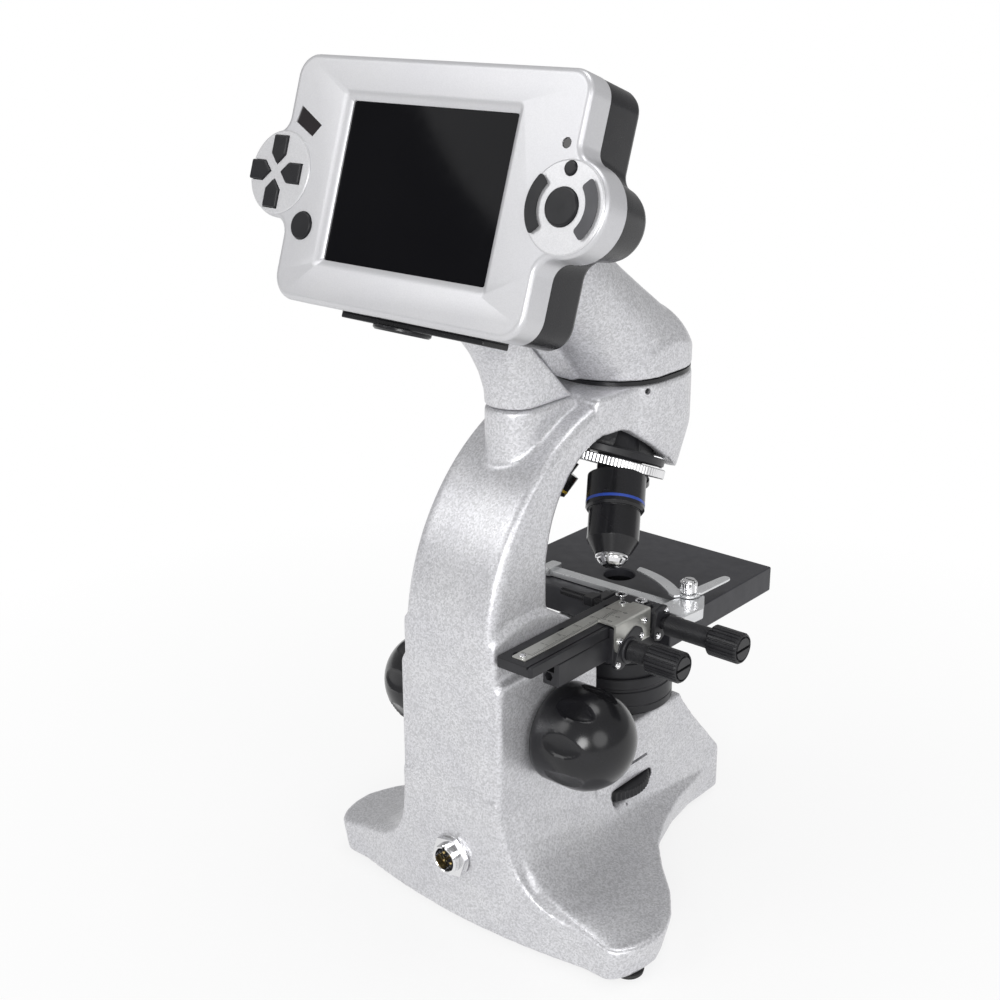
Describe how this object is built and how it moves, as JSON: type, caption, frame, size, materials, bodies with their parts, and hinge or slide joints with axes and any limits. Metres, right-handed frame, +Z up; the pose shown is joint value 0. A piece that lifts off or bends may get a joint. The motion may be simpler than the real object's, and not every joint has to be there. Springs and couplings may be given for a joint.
{
  "type": "lcd digital microscope",
  "caption": "Monocular laboratory microscope in silver paint with a colour screen in place of the eyepiece, a turret of objectives and a mechanical stage.",
  "frame": {"origin": "centre of the bounding box's footprint, on the table under the feet", "axes": "+Z up; +X to the user's right when facing the screen; +Y away from the user, from the arm towards the stage"},
  "size_m": [0.1572, 0.1795, 0.3247],
  "materials": {
    "silver_paint": "die-cast aluminium under fine metallic silver-grey paint, satin",
    "black_metal": "satin black paint",
    "gloss_black": "glossy black",
    "black_plastic": "satin black plastic",
    "silver_plastic": "smooth light silver paint on plastic",
    "screen_glass": "dark screen window, glossy",
    "panel_metal": "display frame",
    "green_board": "green circuit board",
    "battery_wrap": "blue wrap",
    "foot_rubber": "soft rubber",
    "bright_steel": "turned steel",
    "chrome_plate": "polished chrome",
    "satin_chrome": "satin silver",
    "alu_machined": "machined",
    "rack_brass": "cut brass",
    "clear_glass": "clear lens glass",
    "smoke_window": "smoked window",
    "key_black": "semi-gloss black",
    "key_grey": "semi-gloss grey"
  },
  "bodies": {
    "stand": {"base_arm": "silver_paint", "base_cover": "black_metal", "rubber_feet": "foot_rubber", "cover_screws": "bright_steel", "power_jack": "bright_steel", "head_set_screw": "black_metal", "light_board": "green_board", "collector_lens": "clear_glass", "lamp_collar": "black_metal", "nose_mount": "black_metal", "detent_spring": "chrome_plate", "seam_ring": "black_plastic", "head_casting": "silver_paint", "prism": "clear_glass", "camera_module": "black_metal", "lcd_rear_shell": "black_plastic", "lcd_bezel": "silver_plastic", "lcd_glass": "screen_glass", "lcd_panel": "panel_metal", "main_board": "green_board", "battery_pack": "battery_wrap", "battery_cover": "black_plastic", "shell_screws": "bright_steel", "signal_windows": "smoke_window"},
    "dimmer": {"dimmer_wheel": "black_plastic"},
    "focus": {"focus_shaft": "bright_steel", "focus_knob_right": "gloss_black", "focus_knob_left": "gloss_black"},
    "stage": {"stage_slide": "alu_machined", "focus_rack": "rack_brass", "stage_plate": "black_metal", "condenser_housing": "black_metal", "condenser_lens": "clear_glass", "y_guide": "black_metal", "vernier_bracket": "satin_chrome", "guide_screws": "chrome_plate"},
    "iris": {"iris_ring": "black_metal"},
    "y_slide": {"y_slide_plate": "black_metal", "y_ruler": "satin_chrome", "cross_block": "black_metal", "slide_screws": "chrome_plate"},
    "y_drive": {"y_knob": "gloss_black"},
    "x_drive": {"x_knob": "gloss_black"},
    "x_slide": {"specimen_holder": "satin_chrome", "thumb_nut": "chrome_plate"},
    "finger": {"clip_finger": "chrome_plate"},
    "turret": {"turret_body": "black_metal", "turret_ring": "chrome_plate", "objective_4x": "gloss_black", "objective_10x": "gloss_black", "objective_40x": "gloss_black"},
    "button_up": {"key_up": "key_black"},
    "button_down": {"key_down": "key_black"},
    "button_left": {"key_left": "key_black"},
    "button_right": {"key_right": "key_black"},
    "button_ok": {"key_ok": "key_black"},
    "button_menu": {"key_menu": "key_black"},
    "button_mode": {"key_mode": "key_grey"},
    "button_snap": {"key_snap": "key_black"},
    "button_power": {"key_power": "key_black"}
  },
  "joints": [
    {"name": "focus_turn", "type": "hinge", "parent": "stand", "child": "focus", "pos_m": [0, -0.0307, 0.0827], "axis": [1, 0, 0], "range_deg": [-66, 28]},
    {"name": "stage_lift", "type": "slide", "parent": "stand", "child": "stage", "axis": [0, 0, 1], "range_m": [-0.0072, 0.003]},
    {"name": "iris_turn", "type": "hinge", "parent": "stage", "child": "iris", "pos_m": [0, 0.042, 0.0932], "axis": [0, 0, 1], "range_deg": [-35, 35]},
    {"name": "y_travel", "type": "slide", "parent": "stage", "child": "y_slide", "axis": [0, 1, 0], "range_m": [0, 0.018]},
    {"name": "y_knob_turn", "type": "hinge", "parent": "stage", "child": "y_drive", "pos_m": [0.052, -0.0098, 0.1124], "axis": [1, 0, 0], "range_deg": [-260, 1]},
    {"name": "x_travel", "type": "slide", "parent": "y_slide", "child": "x_slide", "axis": [1, 0, 0], "range_m": [-0.01, 0.009]},
    {"name": "x_knob_turn", "type": "hinge", "parent": "y_slide", "child": "x_drive", "pos_m": [0.06, 0.0092, 0.1171], "axis": [1, 0, 0], "range_deg": [-301, 271]},
    {"name": "finger_swing", "type": "hinge", "parent": "x_slide", "child": "finger", "pos_m": [0.0395, 0.0332, 0.1214], "axis": [0, 0, 1], "range_deg": [-15, 4], "stiffness_Nm_per_rad": 0.02},
    {"name": "turret_turn", "type": "hinge", "parent": "stand", "child": "turret", "pos_m": [0, 0.0274, 0.1664], "axis": [0, 0.3907, 0.9205], "continuous": true},
    {"name": "dimmer_turn", "type": "hinge", "parent": "stand", "child": "dimmer", "pos_m": [0.0065, 0.0235, 0.0334], "axis": [0, 0, 1], "range_deg": [-135, 135]},
    {"name": "press_up", "type": "slide", "parent": "stand", "child": "button_up", "axis": [0, 0.9466, -0.3223], "range_m": [0, 0.0008], "stiffness_N_per_m": 300},
    {"name": "press_down", "type": "slide", "parent": "stand", "child": "button_down", "axis": [0, 0.9466, -0.3223], "range_m": [0, 0.0008], "stiffness_N_per_m": 300},
    {"name": "press_left", "type": "slide", "parent": "stand", "child": "button_left", "axis": [0, 0.9466, -0.3223], "range_m": [0, 0.0008], "stiffness_N_per_m": 300},
    {"name": "press_right", "type": "slide", "parent": "stand", "child": "button_right", "axis": [0, 0.9466, -0.3223], "range_m": [0, 0.0008], "stiffness_N_per_m": 300},
    {"name": "press_ok", "type": "slide", "parent": "stand", "child": "button_ok", "axis": [0, 0.9466, -0.3223], "range_m": [0, 0.0008], "stiffness_N_per_m": 300},
    {"name": "press_menu", "type": "slide", "parent": "stand", "child": "button_menu", "axis": [0, 0.9466, -0.3223], "range_m": [0, 0.0008], "stiffness_N_per_m": 300},
    {"name": "press_mode", "type": "slide", "parent": "stand", "child": "button_mode", "axis": [0, 0.9466, -0.3223], "range_m": [0, 0.0008], "stiffness_N_per_m": 300},
    {"name": "press_snap", "type": "slide", "parent": "stand", "child": "button_snap", "axis": [0, 0.9466, -0.3223], "range_m": [0, 0.0008], "stiffness_N_per_m": 300},
    {"name": "press_power", "type": "slide", "parent": "stand", "child": "button_power", "axis": [0, 0.9466, -0.3223], "range_m": [0, 0.0008], "stiffness_N_per_m": 300}
  ],
  "couplings": [
    {"joint": "focus_turn", "follows": "stage_lift", "rad_per_m": 156.25},
    {"joint": "y_knob_turn", "follows": "y_travel", "rad_per_m": -250},
    {"joint": "x_knob_turn", "follows": "x_travel", "rad_per_m": 523.6}
  ]
}
